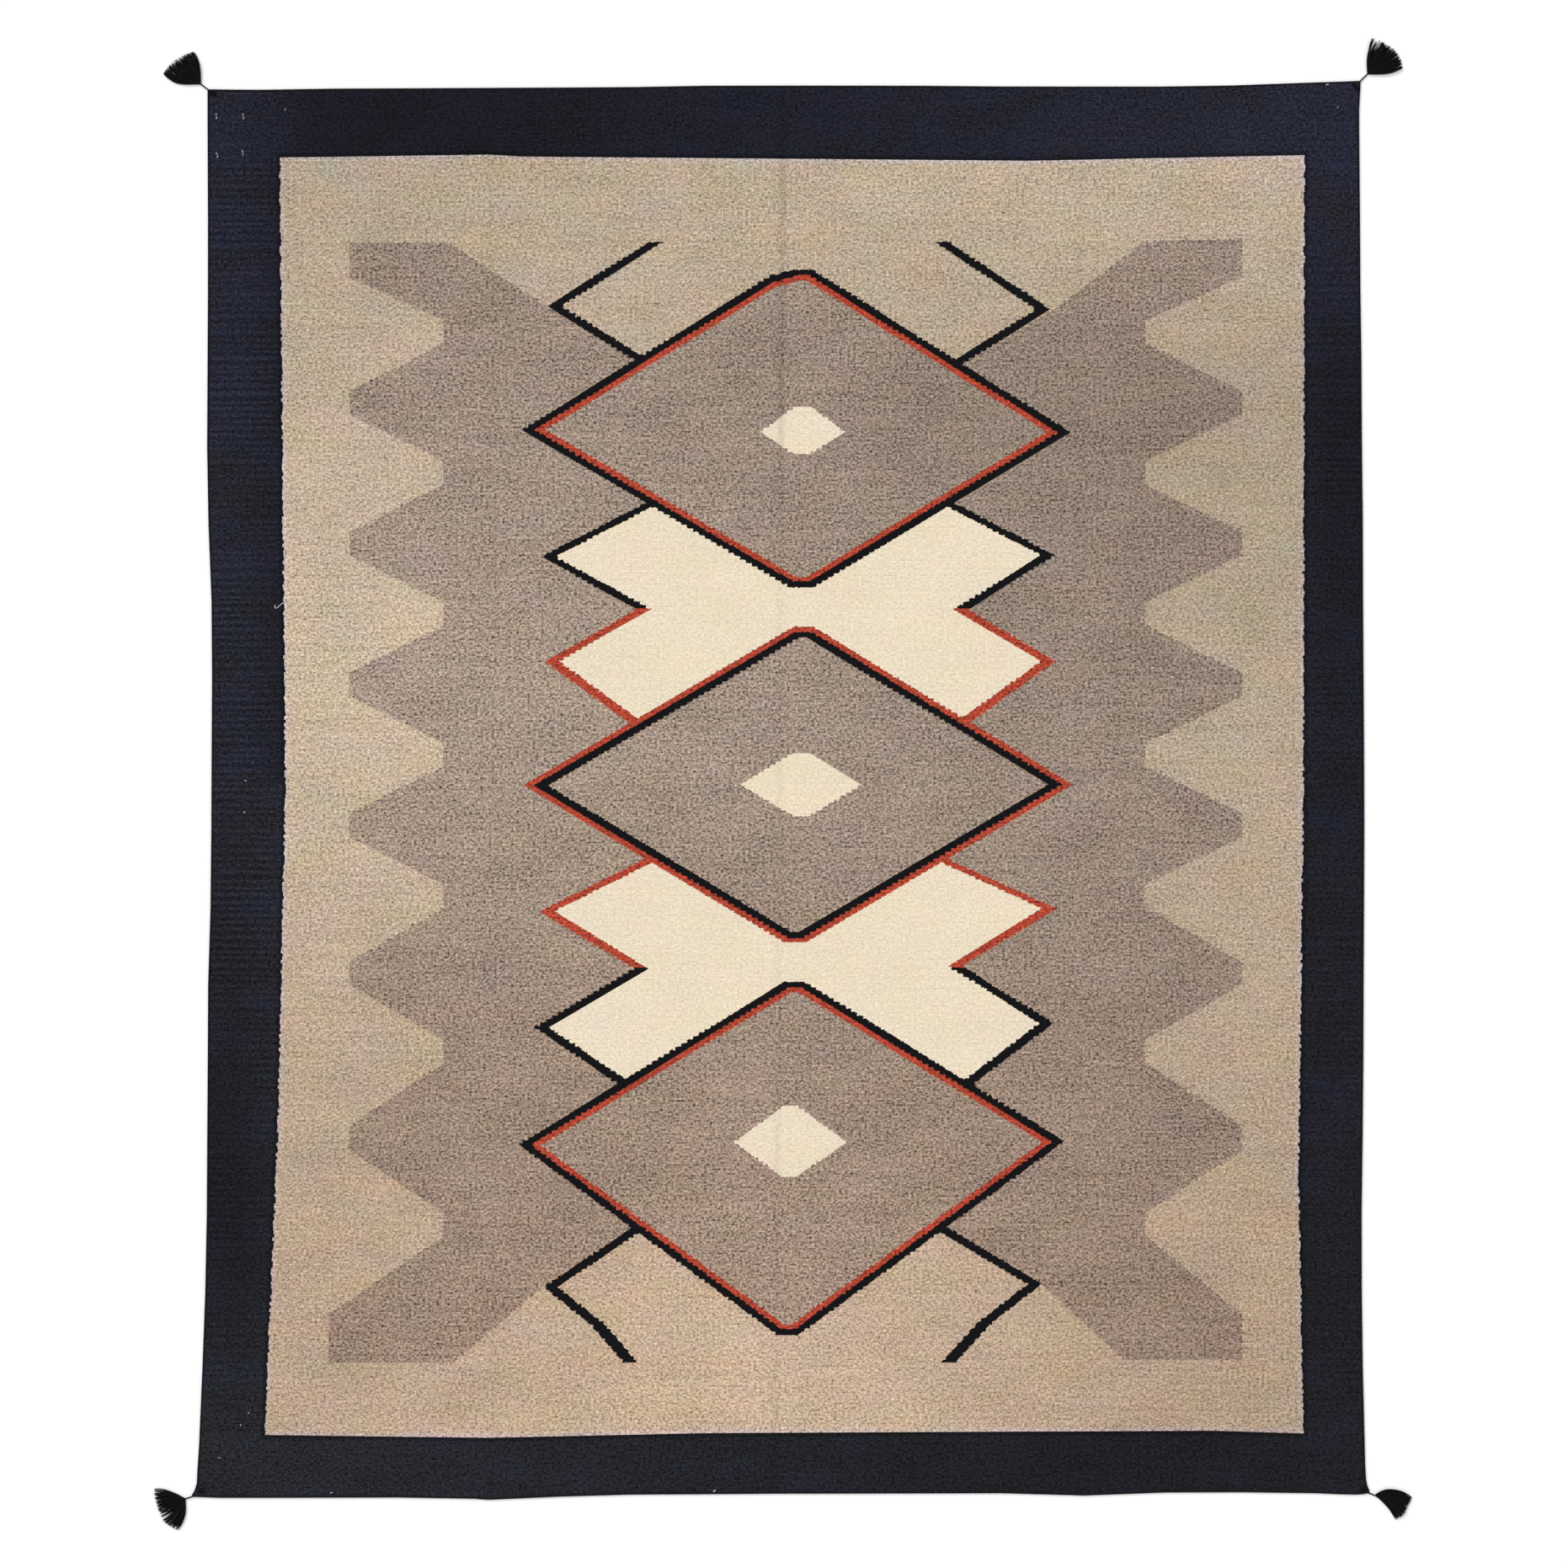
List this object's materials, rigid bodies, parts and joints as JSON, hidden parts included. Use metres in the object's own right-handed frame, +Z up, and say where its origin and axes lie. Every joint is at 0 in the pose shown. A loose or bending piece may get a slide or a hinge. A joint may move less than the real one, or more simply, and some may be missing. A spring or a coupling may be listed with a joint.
{
  "type": "southwest style woven wool rug",
  "caption": "Flat tapestry-woven wool rug in a southwest style, with stacked diamonds and serrated panels inside a dark border and a yarn tassel tied to each corner.",
  "frame": {"origin": "on the underside of the rug near its middle, at floor level", "axes": "+X across the rug, +Y along it towards its top end, +Z up from the floor through the patterned face"},
  "size_m": [2.6743, 3.167, 0.008],
  "materials": {
    "rug_wool": "matte flat-woven handspun wool in charcoal, beige, taupe, cream, brick red and black",
    "tassel_yarn": "matte black wool yarn"
  },
  "bodies": {
    "root": {"rug": "rug_wool", "tie_top_left": "tassel_yarn", "tie_top_right": "tassel_yarn", "tie_bottom_left": "tassel_yarn", "tie_bottom_right": "tassel_yarn", "tassel_top_left": "tassel_yarn", "tassel_top_right": "tassel_yarn", "tassel_bottom_left": "tassel_yarn", "tassel_bottom_right": "tassel_yarn"}
  },
  "joints": []
}
